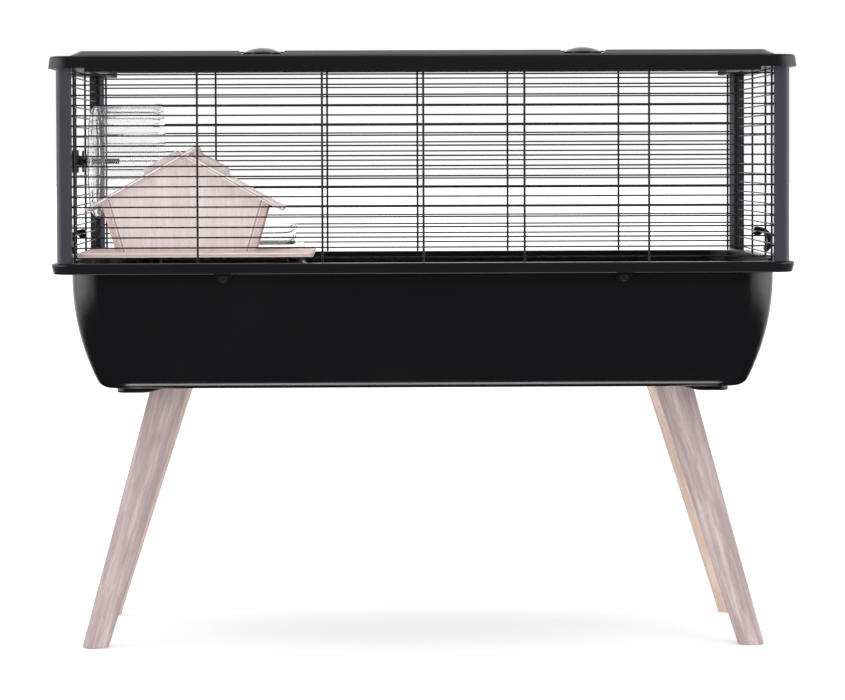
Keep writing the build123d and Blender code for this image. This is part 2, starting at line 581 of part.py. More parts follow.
def wheel_drum():
    """The clear wheel: hub, dished back, ribbed drum and thicker rim."""
    bore = AXLE_R + AXLE_FIT
    inner_r = DRUM_R - DRUM_WALL
    inner_steps = [(x + DRUM_WALL, r - DRUM_WALL) for x, r in reversed(SHOULDER_STEPS)]
    points = [(HUB_X[0], bore), (HUB_X[0], HUB_R), (WHEEL_BACK_X, HUB_R), *SHOULDER_STEPS,
              (WHEEL_SHOULDER_X, DRUM_R), (WHEEL_RIM_X, DRUM_R), (WHEEL_RIM_X, WHEEL_R),
              (WHEEL_MOUTH_X, WHEEL_R), (WHEEL_MOUTH_X, inner_r), (WHEEL_SHOULDER_X + 1, inner_r),
              *inner_steps, (WHEEL_BACK_X + DRUM_WALL, HUB_R), (HUB_X[1], HUB_R), (HUB_X[1], bore)]
    shell = revolve(make_face(Polyline(*points, close=True)), Axis.X)
    shell = Pos(0, WHEEL_Y, WHEEL_Z) * shell
    treads = []
    for index in range(TREADS):
        bar = span((WHEEL_SHOULDER_X + 2, WHEEL_MOUTH_X - 2), about(0, TREAD_WIDTH / 2),
                   (inner_r - TREAD_HEIGHT, inner_r + 0.5))
        treads.append(Pos(0, WHEEL_Y, WHEEL_Z) * Rot(360 / TREADS * index, 0, 0) * bar)
    return shell + treads


def wheel_axle():
    """The fixed axle, with the flange that bears on the inside of the wires."""
    return on_axle(AXLE_X, AXLE_R) + on_axle(AXLE_FLANGE_X, AXLE_FLANGE_R)


def wheel_washer():
    """The washer that bears on the outside of the wires."""
    return on_axle(WASHER_X, WASHER_R) - on_axle(WASHER_X, AXLE_R + 0.2)


def wheel_knob():
    """The knob that screws onto the axle and clamps the wires."""
    knob = on_axle(KNOB_X, CLAMP_KNOB_R)
    for index in range(8):
        angle = math.radians(45 * index)
        y = WHEEL_Y + (CLAMP_KNOB_R + 1.5) * math.cos(angle)
        z = WHEEL_Z + (CLAMP_KNOB_R + 1.5) * math.sin(angle)
        knob -= rod((KNOB_X[0] - 1, y, z), (KNOB_X[1] + 1, y, z), 3.5)
    knob = fillet(knob.faces().sort_by(Axis.X)[0].edges(), 0.8)
    knob += on_axle((KNOB_X[1], KNOB_NECK_X), KNOB_NECK_R)
    return knob - on_axle((AXLE_X[0], KNOB_NECK_X), AXLE_R)


# ------------------------------------------------------------------ platform and ramp
def platform():
    """The flat wooden platform."""
    x_middle = (PLATFORM_X[0] + PLATFORM_X[1]) / 2
    y_middle = (PLATFORM_Y[0] + PLATFORM_Y[1]) / 2
    z = (PLATFORM_TOP_Z - PLATFORM_THICK, PLATFORM_TOP_Z)
    half_x = (PLATFORM_X[1] - PLATFORM_X[0]) / 2
    half_y = (PLATFORM_Y[1] - PLATFORM_Y[0]) / 2
    board = Pos(x_middle, y_middle, 0) * slab(half_x, half_y, PLATFORM_CORNER_R, z)
    edges = board.edges().group_by(Axis.Z)
    return fillet(edges[0] + edges[-1], PLATFORM_EDGE_R)


def platform_prop(x, y):
    """A round prop from the tub's floor to the platform."""
    prop = rod((x, y, TUB_FLOOR_Z), (x, y, PLATFORM_TOP_Z - PLATFORM_THICK), PROP_R)
    return chamfer(prop.edges().group_by(Axis.Z)[0], 1.0)


def ramp():
    """The sloping board, cut level where it meets the floor and the platform."""
    slope = math.radians(RAMP_ANGLE)
    top_z = PLATFORM_TOP_Z - PLATFORM_THICK
    run = (top_z - TUB_FLOOR_Z) / math.tan(slope)
    level_cut = RAMP_THICK / math.sin(slope)
    points = [(RAMP_FOOT_X, TUB_FLOOR_Z), (RAMP_FOOT_X - run, top_z),
              (RAMP_FOOT_X - run - level_cut, top_z), (RAMP_FOOT_X - level_cut, TUB_FLOOR_Z)]
    return across(points, RAMP_Y)


def ramp_rung(index):
    """A small bar across the ramp."""
    along = RUNG_PITCH * (index + 0.7)
    slope = math.radians(RAMP_ANGLE)
    x = RAMP_FOOT_X - along * math.cos(slope)
    z = TUB_FLOOR_Z + along * math.sin(slope)
    bar = span(about(0, RUNG_WIDTH / 2), (RAMP_Y[0] + 3, RAMP_Y[1] - 3), (0, RUNG_HEIGHT))
    bar = fillet(bar.faces().sort_by(Axis.Z)[-1].edges().filter_by(Axis.Y), 1.0)
    return Pos(x, 0, z) * Rot(0, RAMP_ANGLE, 0) * bar


# ------------------------------------------------------------------ wooden house
def roof_line(x, above=0.0):
    """Height of the roof's underside at a distance from the ridge, raised square to it."""
    pitch = math.radians(ROOF_PITCH)
    return HOUSE_APEX_Z - abs(x) * math.tan(pitch) + above / math.cos(pitch)


def under_roof(offset):
    """Where a leaning wall line, set out from the inner one, meets the roof."""
    lean = math.tan(math.radians(HOUSE_LEAN))
    pitch = math.tan(math.radians(ROOF_PITCH))
    start = HOUSE_BASE_HALF + offset / math.cos(math.radians(HOUSE_LEAN))
    reach = (start + (HOUSE_APEX_Z - PLATFORM_TOP_Z) * lean) / (1 + pitch * lean)
    return start, reach


def at_house(points, y, side=1):
    """An outline measured from the house's middle, carried along Y."""
    return across([(HOUSE_X + side * x, z) for x, z in points], y)


def gable_wall(y):
    """A gable wall with a tab on each slope that passes up through the roof board."""
    start, reach = under_roof(0.0)
    low, high = TAB_SPAN
    rise = TAB_RISE + ROOF_THICK / math.cos(math.radians(ROOF_PITCH))
    half = [(start, PLATFORM_TOP_Z), (reach, roof_line(reach)), (high, roof_line(high)),
            (high, roof_line(high) + rise), (low, roof_line(low) + rise), (low, roof_line(low)),
            (0.0, HOUSE_APEX_Z)]
    other = [(-x, z) for x, z in reversed(half[:-1])]
    return at_house(half + other, y)


def house_front_wall():
    """The plain gable wall at the front."""
    return gable_wall((HOUSE_Y[0], HOUSE_Y[0] + WALL_THICK))


def house_back_wall():
    """The gable wall at the back, with an arched doorway."""
    y = (HOUSE_Y[1] - WALL_THICK, HOUSE_Y[1])
    radius = DOOR_WIDTH / 2
    spring_z = PLATFORM_TOP_Z + DOOR_HEIGHT - radius
    arch = rod((HOUSE_X, y[0] - 1, spring_z), (HOUSE_X, y[1] + 1, spring_z), radius)
    arch += span(about(HOUSE_X, radius), (y[0] - 1, y[1] + 1), (PLATFORM_TOP_Z - 1, spring_z))
    return gable_wall(y) - arch


def leaning_board(inner, outer, y, side):
    """A board that leans out with the house's side, between two offsets from its inner line."""
    start_in, reach_in = under_roof(inner)
    start_out, reach_out = under_roof(outer)
    points = [(start_in, PLATFORM_TOP_Z), (start_out, PLATFORM_TOP_Z),
              (reach_out, roof_line(reach_out)), (reach_in, roof_line(reach_in))]
    return at_house(points, y, side)


def house_side_wall(side):
    """A side wall of thin plywood that leans out towards the eaves."""
    return leaning_board(0.0, PLY_THICK, HOUSE_Y, side)


def house_batten(side, end):
    """A corner batten outside a side wall."""
    edge = HOUSE_Y[0] if end < 0 else HOUSE_Y[1]
    y = sorted((edge, edge - end * BATTEN_DEPTH))
    return leaning_board(PLY_THICK, PLY_THICK + BATTEN_THICK, y, side)


def roof_slots():
    """The space that the four gable tabs take up in the roof boards."""
    cuts = []
    for edge in (HOUSE_Y[0], HOUSE_Y[1] - WALL_THICK):
        y = (edge - TAB_FIT, edge + WALL_THICK + TAB_FIT)
        for _, side in SIDES:
            x = sorted((HOUSE_X + side * (TAB_SPAN[0] - TAB_FIT), HOUSE_X + side * (TAB_SPAN[1] + TAB_FIT)))
            cuts.append(span(x, y, (PLATFORM_TOP_Z, HOUSE_APEX_Z + 60)))
    return cuts


def house_roof_left():
    """The left roof board, which runs on past the ridge."""
    pitch = math.radians(ROOF_PITCH)
    lift_x, lift_z = ROOF_THICK * math.sin(pitch), ROOF_THICK * math.cos(pitch)
    low = (-ROOF_HALF_RUN, roof_line(ROOF_HALF_RUN))
    high = (ROOF_OVERSHOOT, HOUSE_APEX_Z + ROOF_OVERSHOOT * math.tan(pitch))
    points = [low, high, (high[0] - lift_x, high[1] + lift_z), (low[0] - lift_x, low[1] + lift_z)]
    return at_house(points, ROOF_Y) - roof_slots()


def house_roof_right():
    """The right roof board, cut to butt under the left one."""
    pitch = math.radians(ROOF_PITCH)
    lift_x, lift_z = ROOF_THICK * math.sin(pitch), ROOF_THICK * math.cos(pitch)
    meet_x = ROOF_THICK / math.cos(pitch) / (2 * math.tan(pitch))
    low = (ROOF_HALF_RUN, roof_line(ROOF_HALF_RUN))
    points = [(0.0, HOUSE_APEX_Z), (meet_x, HOUSE_APEX_Z + meet_x * math.tan(pitch)),
              (low[0] + lift_x, low[1] + lift_z), low]
    return at_house(points, ROOF_Y) - roof_slots()


# ------------------------------------------------------------------ dish
def dish():
    """A clear round dish with a small lip and a wide, flat foot."""
    floor = 4.0
    points = [(0.0, 0.0), (DISH_BASE_R, 0.0), (DISH_BASE_R, DISH_BASE_H),
              (DISH_RIM_R - 2.5, DISH_BASE_H), (DISH_RIM_R - 0.6, DISH_HEIGHT - 2.0),
              (DISH_RIM_R, DISH_HEIGHT - 2.0), (DISH_RIM_R, DISH_HEIGHT),
              (DISH_RIM_R - DISH_WALL - 0.6, DISH_HEIGHT), (DISH_RIM_R - DISH_WALL - 2.6, floor + 4),
              (DISH_RIM_R - DISH_WALL - 6, floor), (0.0, floor)]
    face = Plane.XZ * make_face(Polyline(*points, close=True))
    return Pos(DISH_X, DISH_Y, PLATFORM_TOP_Z) * revolve(face, Axis.Z)


# ------------------------------------------------------------------ assembly
def group(shapes):
    """Identical loose pieces, kept as separate solids in one node."""
    return Compound(children=[solid for shape in shapes for solid in shape.solids()])


def pieces():
    """Every piece of the cage, by node name."""
    parts = {}
    for end_name, sy in ENDS:
        for side_name, sx in SIDES:
            corner = f"{end_name}_{side_name}"
            parts[f"leg_{corner}"] = leg(sx, sy)
            parts[f"leg_plate_{corner}"] = leg_plate(sx, sy)
            parts[f"post_{corner}"] = post(sx, sy)
    corners = all_corners()
    parts["leg_bolts"] = group([leg_bolt(sx, sy) for sx, sy in corners])
    screws = [plate_screw(x, y) for sx, sy in corners for x, y in plate_screw_places(sx, sy)]
    parts["leg_plate_screws"] = group(screws)
    parts["tub"] = tub()
    parts["bottom_frame"] = bottom_frame()
    parts["tab_screws"] = group([tab_screw(x, side) for x, side in tab_places()])
    parts["front_panel"] = long_panel(WIRE_FIRST_Z)
    parts["back_panel"] = Rot(0, 0, 180) * long_panel(BACK_FIRST_Z)
    parts["right_panel"] = Rot(0, 0, 90) * end_panel()
    parts["left_panel"] = Rot(0, 0, -90) * end_panel()
    parts["top_frame"] = top_frame()
    parts["lid_frame"] = lid_frame()
    parts["lid_grille"] = lid_grille()
    parts["lid_hinge_pins"] = group([hinge_pin(side) for _, side in SIDES])
    for name, side in SIDES:
        parts[f"latch_{name}"] = latch(side)
        parts[f"side_clip_{name}"] = clip(side)
    parts["wheel_drum"] = wheel_drum()
    parts["wheel_axle"] = wheel_axle()
    parts["wheel_washer"] = wheel_washer()
    parts["wheel_knob"] = wheel_knob()
    parts["platform"] = platform()
    parts["platform_props"] = group([platform_prop(x, y) for x in PROP_X for y in PROP_Y])
    parts["ramp_board"] = ramp()
    parts["ramp_rungs"] = group([ramp_rung(index) for index in range(RUNG_COUNT)])
    parts["house_front_wall"] = house_front_wall()
    parts["house_back_wall"] = house_back_wall()
    for name, side in SIDES:
        parts[f"house_{name}_wall"] = house_side_wall(side)
    parts["house_battens"] = group([house_batten(side, end) for _, side in SIDES for _, end in ENDS])
    parts["house_roof_left"] = house_roof_left()
    parts["house_roof_right"] = house_roof_right()
    parts["food_dish"] = dish()
    return parts


def main():
    os.makedirs("parts", exist_ok=True)
    for name, shape in pieces().items():
        export_step(shape, f"parts/{name}.step")


main()
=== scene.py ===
import math

import bmesh
import bpy
from mathutils import Matrix, Vector


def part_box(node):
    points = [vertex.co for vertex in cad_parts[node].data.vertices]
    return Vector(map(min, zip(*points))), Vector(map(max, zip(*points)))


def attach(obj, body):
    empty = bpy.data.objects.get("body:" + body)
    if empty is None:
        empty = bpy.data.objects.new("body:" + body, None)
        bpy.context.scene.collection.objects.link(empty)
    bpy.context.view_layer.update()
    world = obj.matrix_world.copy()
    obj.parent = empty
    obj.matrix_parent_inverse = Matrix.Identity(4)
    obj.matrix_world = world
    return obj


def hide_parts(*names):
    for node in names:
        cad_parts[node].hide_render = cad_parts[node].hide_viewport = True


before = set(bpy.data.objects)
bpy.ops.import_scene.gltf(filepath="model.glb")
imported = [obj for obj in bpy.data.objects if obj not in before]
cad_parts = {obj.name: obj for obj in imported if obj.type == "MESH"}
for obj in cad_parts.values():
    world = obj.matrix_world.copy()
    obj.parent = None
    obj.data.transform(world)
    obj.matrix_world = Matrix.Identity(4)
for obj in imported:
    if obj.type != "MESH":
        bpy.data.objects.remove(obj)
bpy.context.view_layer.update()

# ------------------------------------------------------------------ driving values, metres
# The camera: a long lens at the height of the wire top, a little left of the middle.
# Its turns are in degrees.
CAMERA_AT = (-0.057, -3.932, 0.530)
LENS_MM = 150.13
CAMERA_PITCH, CAMERA_YAW, CAMERA_ROLL = -2.19, -0.860, -0.20
CAMERA_SHIFT_Y = -0.0708

# Wire panels, as the CAD makes them
WIRE_PITCH, WIRE_ROWS = 0.0107, 19
FIRST_RISE = 0.0054
BACK_RISE = FIRST_RISE + WIRE_PITCH / 2
WIRE_R, UPRIGHT_R, WIRE_CROSSING = 0.0008, 0.0012, 0.0017
LONG_UPRIGHTS = (0.0, 0.1063, 0.2374, 0.3665)
END_UPRIGHTS = (0.066, 0.2165)
LID_CROSS_WIRES = (0.0, 0.1063, 0.2374, 0.345)
WIRE_SIDES = 12
WELD_R, WELD_SINK = 0.00135, 0.42

# The house's lean and pitch, and a point on the inner face of its side walls
HOUSE_LEAN, ROOF_PITCH = math.radians(16.3), math.radians(29.3)
HOUSE_X, HOUSE_BASE_HALF, PLATFORM_TOP_Z = -0.2546, 0.0637, 0.4276
RAMP_SLOPE = math.radians(29.7)

# How far each leg runs outwards from its top to its foot
FRONT_LEG_SPREAD, BACK_LEG_SPREAD, LEG_SPREAD_Y = 0.0793, 0.0851, 0.057

UP = Vector((0, 0, 1))


# ------------------------------------------------------------------ material helpers
def start_material(name):
    """A new material with nothing in it but its shader and output."""
    material = bpy.data.materials.new(name)
    material.use_nodes = True
    tree = material.node_tree
    shader = tree.nodes["Principled BSDF"]
    return material, tree, shader


def node(tree, kind, inputs=None, **settings):
    """Adds a node. An input may be a socket, which is linked, or a plain value."""
    made = tree.nodes.new(kind)
    for key, value in settings.items():
        setattr(made, key, value)
    for key, value in (inputs or {}).items():
        socket = made.inputs[key]
        if isinstance(value, bpy.types.NodeSocket):
            tree.links.new(value, socket)
        else:
            socket.default_value = value
    return made


def place(tree):
    """Where a point of the surface is, in the row's frame."""
    return node(tree, "ShaderNodeTexCoord").outputs["Object"]


def along(tree, vector, direction, scale=1.0):
    """How far a point lies along a direction, times a scale."""
    scaled = tuple(component * scale for component in direction)
    dot = node(tree, "ShaderNodeVectorMath", {0: vector, 1: scaled}, operation="DOT_PRODUCT")
    return dot.outputs["Value"]


def maths(tree, operation, first, second=0.0, clamp=False):
    """One step of arithmetic."""
    made = node(tree, "ShaderNodeMath", {0: first, 1: second}, operation=operation, use_clamp=clamp)
    return made.outputs[0]


def noise(tree, vector, scale, detail=4.0, rough=0.55, distortion=0.0):
    """Smooth noise over a vector."""
    inputs = {"Vector": vector, "Scale": scale, "Detail": detail, "Roughness": rough,
              "Distortion": distortion}
    return node(tree, "ShaderNodeTexNoise", inputs).outputs["Fac"]


def spread(tree, value, low, high, to_low=0.0, to_high=1.0):
    """Maps a range of values to another, held at both ends."""
    inputs = {"Value": value, "From Min": low, "From Max": high,
              "To Min": to_low, "To Max": to_high}
    return node(tree, "ShaderNodeMapRange", inputs, clamp=True).outputs["Result"]


def mixed(tree, factor, first, second, blend="MIX"):
    """Mixes two colours."""
    made = node(tree, "ShaderNodeMix", {"Factor": factor}, data_type="RGBA", blend_type=blend)
    for socket, value in ((made.inputs[6], first), (made.inputs[7], second)):
        if isinstance(value, bpy.types.NodeSocket):
            tree.links.new(value, socket)
        else:
            socket.default_value = (*value, 1.0)
    return made.outputs[2]


def bumped(tree, shader, height, distance, strength=1.0):
    """Raises the surface a little by a height."""
    inputs = {"Height": height, "Distance": distance, "Strength": strength}
    made = node(tree, "ShaderNodeBump", inputs)
    tree.links.new(made.outputs["Normal"], shader.inputs["Normal"])


def square_to(direction):
    """Two directions square to one and to each other."""
    first = direction.cross(UP)
    if first.length < 0.1:
        first = direction.cross(Vector((1, 0, 0)))
    first.normalize()
    return first, direction.cross(first).normalized()


# ------------------------------------------------------------------ materials
def wood(name, light, dark, grain, roughness=0.55, layers=None, seed=0.0, figure=0.0):
    """Pale planed wood with its grain along a direction, shifted by a seed.

    figure, where given, darkens cloudy patches of the grain by up to that much.
    layers, where given, is (face normal, a point on the face, ply spacing, contrast):
    the board's edges then show its plies, light and dark by turns.
    """
    material, tree, shader = start_material(name)
    grain = Vector(grain).normalized()
    side, third = square_to(grain)
    point = place(tree)
    offset = (seed, seed * 0.7, seed * 1.3)
    shifted = node(tree, "ShaderNodeVectorMath", {0: point, 1: offset}).outputs[0]

    def stretched(length_scale, cross_scale):
        inputs = {"X": along(tree, shifted, grain, length_scale),
                  "Y": along(tree, shifted, side, cross_scale),
                  "Z": along(tree, shifted, third, cross_scale)}
        return node(tree, "ShaderNodeCombineXYZ", inputs).outputs[0]

    bands = noise(tree, stretched(3.4, 46.0), 1.0, detail=4.0, distortion=1.1)
    fibres = noise(tree, stretched(14.0, 300.0), 1.0, detail=6.0, rough=0.66)
    pores = noise(tree, stretched(95.0, 1500.0), 1.0, detail=2.0)
    wide, fine = maths(tree, "MULTIPLY", bands, 0.55), maths(tree, "MULTIPLY", fibres, 0.45)
    tone = maths(tree, "ADD", wide, fine)
    tone = spread(tree, tone, 0.38, 0.62)
    if figure:
        cloud = noise(tree, stretched(9.0, 60.0), 1.0, detail=3.0, distortion=2.0)
        tone = maths(tree, "MULTIPLY", tone, spread(tree, cloud, 0.35, 0.62, 1.0 - figure, 1.0))
    colour = mixed(tree, tone, dark, light)
    fleck = spread(tree, pores, 0.57, 0.72, 0.0, 0.50)
    colour = mixed(tree, fleck, colour, tuple(component * 0.62 for component in dark))
    height = maths(tree, "SUBTRACT", fibres, maths(tree, "MULTIPLY", fleck, 0.8))
    if layers:
        colour = edge_plies(tree, point, colour, light, dark, layers)
    tree.links.new(colour, shader.inputs["Base Color"])
    rough = spread(tree, fibres, 0.3, 0.7, roughness - 0.07, roughness + 0.1)
    tree.links.new(rough, shader.inputs["Roughness"])
    shader.inputs["Specular IOR Level"].default_value = 0.35
    bumped(tree, shader, height, 0.00035, 0.6)
    return material


def edge_plies(tree, point, colour, light, dark, layers):
    """Shows thin plies where a board's surface turns away from its face."""
    normal, face_point, spacing, contrast = layers
    normal = Vector(normal).normalized()
    start = normal.dot(Vector(face_point)) / spacing
    facing = along(tree, node(tree, "ShaderNodeTexCoord").outputs["Normal"], normal)
    edge = spread(tree, maths(tree, "ABSOLUTE", facing), 0.5, 0.75, 1.0, 0.0)
    depth = maths(tree, "SUBTRACT", along(tree, point, normal, 1.0 / spacing), start)
    stripe = maths(tree, "COSINE", maths(tree, "MULTIPLY", depth, math.tau))
    stripe = spread(tree, stripe, -0.5, 0.2)
    core = mixed(tree, stripe, tuple(component * 0.55 for component in dark), light)
    strength = maths(tree, "MULTIPLY", edge, contrast)
    return mixed(tree, strength, colour, core)


def black_plastic(name, base, roughness, grain=0.0, dust=0.03):
    """Moulded black plastic: fine orange-peel, uneven gloss, a trace of dust on top faces."""
    material, tree, shader = start_material(name)
    point = place(tree)
    cloud = noise(tree, point, 7.0, detail=3.0)
    fine = noise(tree, point, 900.0, detail=2.0)
    ripple = noise(tree, point, 60.0, detail=2.0)
    colour = mixed(tree, cloud, tuple(component * 0.8 for component in base),
                   tuple(component * 1.25 for component in base))
    normal = node(tree, "ShaderNodeTexCoord").outputs["Normal"]
    upward = spread(tree, along(tree, normal, UP), 0.5, 1.0)
    specks = spread(tree, noise(tree, point, 420.0, detail=4.0), 0.52, 0.75, 0.0, dust)
    colour = mixed(tree, maths(tree, "MULTIPLY", specks, upward), colour, (0.32, 0.30, 0.28))
    tree.links.new(colour, shader.inputs["Base Color"])
    rough = spread(tree, cloud, 0.3, 0.7, roughness - 0.04, roughness + 0.05)
    tree.links.new(rough, shader.inputs["Roughness"])
    height = maths(tree, "ADD", maths(tree, "MULTIPLY", fine, 0.12 + grain), ripple)
    bumped(tree, shader, height, 0.00010, 0.35 + grain)
    return material


def wire_coat(name):
    """Dark lacquer over drawn wire, worn a little lighter here and there."""
    material, tree, shader = start_material(name)
    point = place(tree)
    patches = spread(tree, noise(tree, point, 140.0, detail=5.0), 0.40, 0.70)
    colour = mixed(tree, patches, (0.010, 0.0095, 0.011), (0.026, 0.024, 0.026))
    tree.links.new(colour, shader.inputs["Base Color"])
    shader.inputs["Specular IOR Level"].default_value = 0.32
    rough = spread(tree, patches, 0.0, 1.0, 0.26, 0.40)
    tree.links.new(rough, shader.inputs["Roughness"])
    bumped(tree, shader, noise(tree, point, 1400.0, detail=2.0), 0.00006, 0.5)
    return material


def clear_plastic(name, tint, roughness):
    """Clear moulded plastic, a little milky, with faint flow marks and scuffs."""
    material, tree, shader = start_material(name)
    point = place(tree)
    flow = noise(tree, point, 45.0, detail=3.0, distortion=1.2)
    scuffs = spread(tree, noise(tree, point, 260.0, detail=6.0, rough=0.7), 0.56, 0.72)
    colour = mixed(tree, flow, tint, (1.0, 1.0, 1.0))
    tree.links.new(colour, shader.inputs["Base Color"])
    rough = spread(tree, scuffs, 0.0, 1.0, roughness, roughness + 0.06)
    tree.links.new(rough, shader.inputs["Roughness"])
    shader.inputs["Transmission Weight"].default_value = 0.94
    shader.inputs["IOR"].default_value = 1.17
    return material


def bright_metal(name, base, roughness, axis=(1, 0, 0)):
    """Turned or rolled steel with fine marks round it."""
    material, tree, shader = start_material(name)
    point = place(tree)
    lathe = {"X": along(tree, point, Vector(axis), 2600.0)}
    marks = noise(tree, node(tree, "ShaderNodeCombineXYZ", lathe).outputs[0], 1.0, detail=3.0)
    cloud = noise(tree, point, 160.0)
    colour = mixed(tree, cloud, tuple(component * 0.8 for component in base), base)
    tree.links.new(colour, shader.inputs["Base Color"])
    shader.inputs["Metallic"].default_value = 1.0
    rough = spread(tree, marks, 0.3, 0.7, roughness - 0.08, roughness + 0.08)
    tree.links.new(rough, shader.inputs["Roughness"])
    bumped(tree, shader, marks, 0.00003, 0.5)
    return material


# ------------------------------------------------------------------ mesh helpers
def ring_places(centre, axis, radius, sides):
    """Points of a circle square to an axis."""
    first, second = square_to(axis)
    turns = [math.tau * step / sides for step in range(sides)]
    return [centre + radius * (math.cos(turn) * first + math.sin(turn) * second) for turn in turns]


def add_rod(verts, faces, start, end, radius, sides=WIRE_SIDES):
    """Adds a straight wire with softly rounded ends to a list of vertices and faces."""
    start, end = Vector(start), Vector(end)
    axis = (end - start).normalized()
    shoulder = radius * 0.5
    stations = [(start, radius * 0.55), (start + axis * shoulder, radius),
                (end - axis * shoulder, radius), (end, radius * 0.55)]
    first = len(verts)
    for centre, size in stations:
        verts.extend(ring_places(centre, axis, size, sides))
    for ring in range(len(stations) - 1):
        low = first + ring * sides
        for step in range(sides):
            after = (step + 1) % sides
            faces.append((low + step, low + after, low + sides + after, low + sides + step))
    faces.append(tuple(first + step for step in reversed(range(sides))))
    last = first + (len(stations) - 1) * sides
    faces.append(tuple(last + step for step in range(sides)))


def add_weld(verts, faces, centre, radius, squash_axis):
    """Adds the small flattened bead where two wires are welded."""
    bead = bmesh.new()
    bmesh.ops.create_icosphere(bead, subdivisions=1, radius=radius)
    first = len(verts)
    for vert in bead.verts:
        place_at = vert.co - squash_axis * vert.co.dot(squash_axis) * 0.25
        verts.append(Vector(centre) + place_at)
    faces.extend(tuple(first + vert.index for vert in face.verts) for face in bead.faces)
    bead.free()


def mesh_object(name, verts, faces, material, smooth=True):
    """A mesh object at the origin, from vertices in the row's frame."""
    mesh = bpy.data.meshes.new(name)
    mesh.from_pydata([tuple(vert) for vert in verts], [], faces)
    mesh.update()
    piece = bpy.data.objects.new(name, mesh)
    bpy.context.scene.collection.objects.link(piece)
    mesh.materials.append(material)
    if smooth:
        mesh.shade_smooth()
        mesh.set_sharp_from_angle(angle=math.radians(40))
    return piece


def paint(name, material):
    """Gives a CAD node its finished material."""
    node_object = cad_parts[name]
    node_object.data.materials.clear()
    node_object.data.materials.append(material)


# ------------------------------------------------------------------ wire panels
def turned(point, quarter):
    """A point turned about Z by quarter turns."""
    x, y, z = point
    for _ in range(quarter % 4):
        x, y = -y, x
    return Vector((x, y, z))


def wire_panel(name, node_name, quarter, uprights, rise, material):
    """One side of the cage: level wires, uprights outside them, a weld at each crossing."""
    low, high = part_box(node_name)
    if quarter % 2:
        half = (high.y - low.y) / 2
        distance = min(abs(low.x), abs(high.x)) + WIRE_R
    else:
        half = (high.x - low.x) / 2
        distance = min(abs(low.y), abs(high.y)) + WIRE_R
    first_z = low.z + rise
    rows = [first_z + row * WIRE_PITCH for row in range(WIRE_ROWS)]
    places = sorted({side * x for x in uprights for side in (-1, 1)})
    verts, faces = [], []
    outside = -distance - WIRE_CROSSING
    for z in rows:
        start, end = turned((-half, -distance, z), quarter), turned((half, -distance, z), quarter)
        add_rod(verts, faces, start, end, WIRE_R)
    for x in places:
        start, end = turned((x, outside, low.z), quarter), turned((x, outside, high.z), quarter)
        add_rod(verts, faces, start, end, UPRIGHT_R)
    through = turned((0, 1, 0), quarter)
    for z in rows:
        for x in places:
            centre = turned((x, -distance - WIRE_CROSSING * WELD_SINK, z), quarter)
            add_weld(verts, faces, centre, WELD_R, through)
    piece = mesh_object(name, verts, faces, material)
    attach(piece, "cage_top")
    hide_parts(node_name)
    return piece


def lid_wires(material):
    """The lid's grille: wires along the cage over thicker cross wires."""
    low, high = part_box("lid_grille")
    wire_z = high.z - WIRE_R
    cross_z = wire_z - WIRE_CROSSING
    count = int((high.y - low.y - 0.004) / WIRE_PITCH + 1e-6)
    first_y = (low.y + high.y - count * WIRE_PITCH) / 2
    verts, faces = [], []
    rows = [first_y + row * WIRE_PITCH for row in range(count + 1)]
    for y in rows:
        add_rod(verts, faces, (low.x, y, wire_z), (high.x, y, wire_z), WIRE_R)
    places = sorted({side * x for x in LID_CROSS_WIRES for side in (-1, 1)})
    for x in places:
        add_rod(verts, faces, (x, low.y, cross_z), (x, high.y, cross_z), UPRIGHT_R)
    for y in rows:
        for x in places:
            add_weld(verts, faces, (x, y, wire_z - WIRE_CROSSING * WELD_SINK), WELD_R, UP)
    piece = mesh_object("lid_wires", verts, faces, material)
    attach(piece, "lid")
    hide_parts("lid_grille")
    return piece


# ------------------------------------------------------------------ dressing the CAD nodes
CORNERS = [(f"{end}_{side}", sx, sy) for end, sy in (("front", -1), ("back", 1))
           for side, sx in (("left", -1), ("right", 1))]

# Light and dark grain colours. The back legs are the same wood as the front ones; their lighter,
# yellower colours are painted light that lifts the shade they stand in under the tub.
LEG_LIGHT, LEG_DARK = (0.60, 0.49, 0.48), (0.32, 0.25, 0.245)
BACK_LEG_LIGHT, BACK_LEG_DARK = (0.80, 0.645, 0.555), (0.56, 0.42, 0.35)
PLY_LIGHT, PLY_DARK = (0.77, 0.695, 0.685), (0.66, 0.58, 0.565)
ROOF_LIGHT, ROOF_DARK = (0.87, 0.765, 0.745), (0.70, 0.585, 0.565)
# The batten colours sit darker than the plywood as painted shade at the house's corners.
SHADED_BATTEN_LIGHT, SHADED_BATTEN_DARK = (0.68, 0.55, 0.51), (0.50, 0.38, 0.345)
BOARD_LIGHT, BOARD_DARK = (0.96, 0.81, 0.76), (0.80, 0.63, 0.58)


def dress_legs():
    """Each leg gets its own grain, along the leg."""
    for index, (corner, sx, sy) in enumerate(CORNERS):
        low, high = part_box(f"leg_{corner}")
        spread_x = FRONT_LEG_SPREAD if sy < 0 else BACK_LEG_SPREAD
        run = Vector((-sx * spread_x, -sy * LEG_SPREAD_Y, high.z - low.z))
        # The back legs take the lighter copy of the wood colours: painted light that offsets their
        # shade.
        light, dark = (LEG_LIGHT, LEG_DARK) if sy < 0 else (BACK_LEG_LIGHT, BACK_LEG_DARK)
        beech = wood(f"beech_{corner}", light, dark, run, seed=index * 3.1 + 1.0, figure=0.7)
        paint(f"leg_{corner}", beech)
    mount = black_plastic("mount_black", (0.010, 0.010, 0.011), 0.5, grain=0.4)
    for corner, _, _ in CORNERS:
        paint(f"leg_plate_{corner}", mount)
    steel = bright_metal("screw_steel", (0.56, 0.56, 0.57), 0.35, axis=(0, 0, 1))
    paint("leg_bolts", steel)
    paint("leg_plate_screws", steel)


